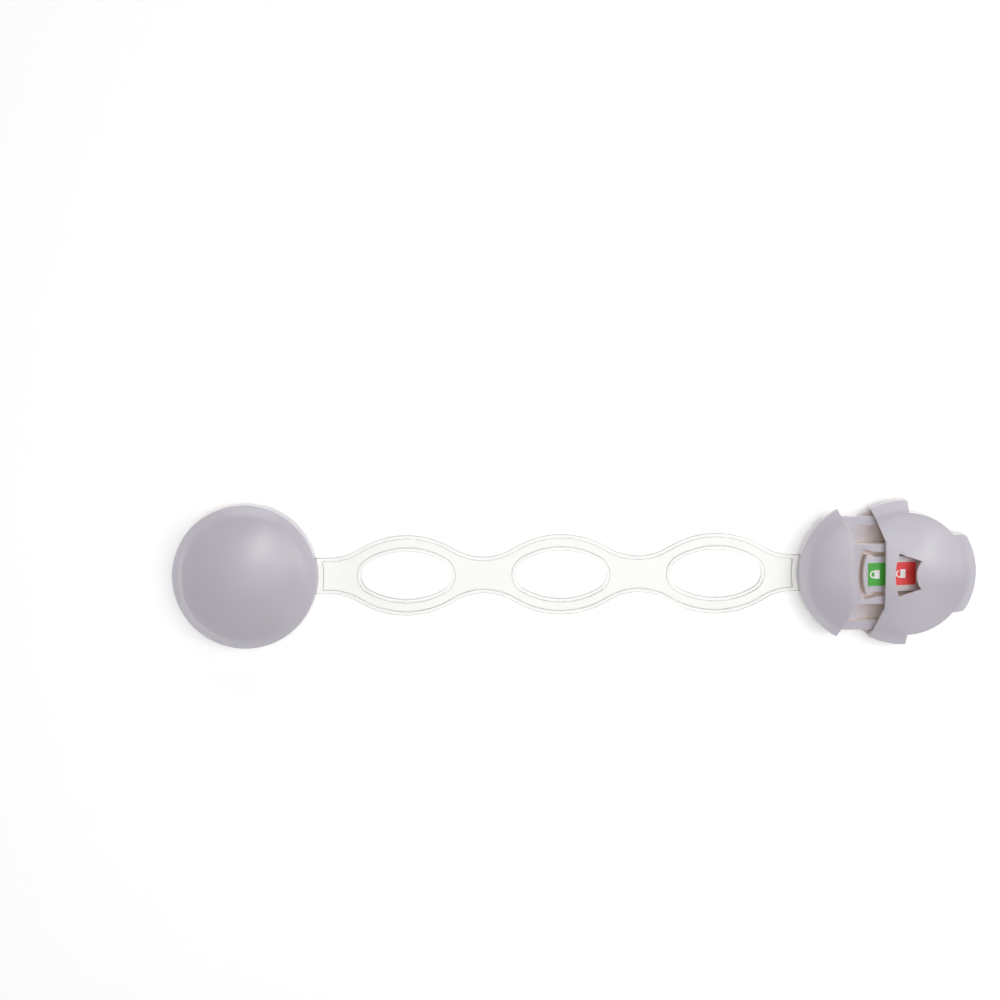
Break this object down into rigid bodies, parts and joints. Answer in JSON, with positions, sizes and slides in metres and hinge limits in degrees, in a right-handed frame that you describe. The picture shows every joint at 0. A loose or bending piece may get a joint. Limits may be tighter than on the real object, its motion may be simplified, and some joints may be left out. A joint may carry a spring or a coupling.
{
  "type": "cabinet safety lock",
  "caption": "Child-safety strap lock: a clear wavy strap with oval holes joins a round anchor button to a domed latch head whose slotted cover slides open over a press tongue.",
  "frame": {"origin": "centre of the latch head on the adhesive face that sticks to the drawer or door", "axes": "+X from the anchor button to the latch head, the way the cover opens; +Z out of the surface; +Y across the strap"},
  "size_m": [0.2212, 0.04, 0.0115],
  "materials": {
    "grey_plastic": "satin moulded plastic, light lavender grey",
    "clear_strap": "clear flexible plastic",
    "foam_pad": "white double-sided foam tape",
    "green_mark": "printed green mark",
    "red_mark": "printed red mark"
  },
  "bodies": {
    "lock": {"latch_body": "grey_plastic", "fixed_cover": "grey_plastic", "strap": "clear_strap", "anchor_base": "grey_plastic", "anchor_cap": "grey_plastic", "anchor_adhesive_pad": "foam_pad"},
    "slide": {"slide_cover": "grey_plastic"},
    "tongue": {"release_tongue": "grey_plastic", "locked_label": "green_mark", "unlocked_label": "red_mark"},
    "keeper": {"mount_plate": "grey_plastic", "latch_adhesive_pad": "foam_pad"}
  },
  "joints": [
    {"name": "cover_slide", "type": "slide", "parent": "lock", "child": "slide", "axis": [-1, 0, 0], "range_m": [0, 0.0088]},
    {"name": "tongue_press", "type": "hinge", "parent": "lock", "child": "tongue", "pos_m": [0.0148, 0, 0.0052], "axis": [0, 1, 0], "range_deg": [0, 4.5], "stiffness_Nm_per_rad": 0.01, "springref_deg": 4.5},
    {"name": "keeper_release", "type": "slide", "parent": "lock", "child": "keeper", "axis": [0, 0, -1], "range_m": [0, 0.012]}
  ]
}
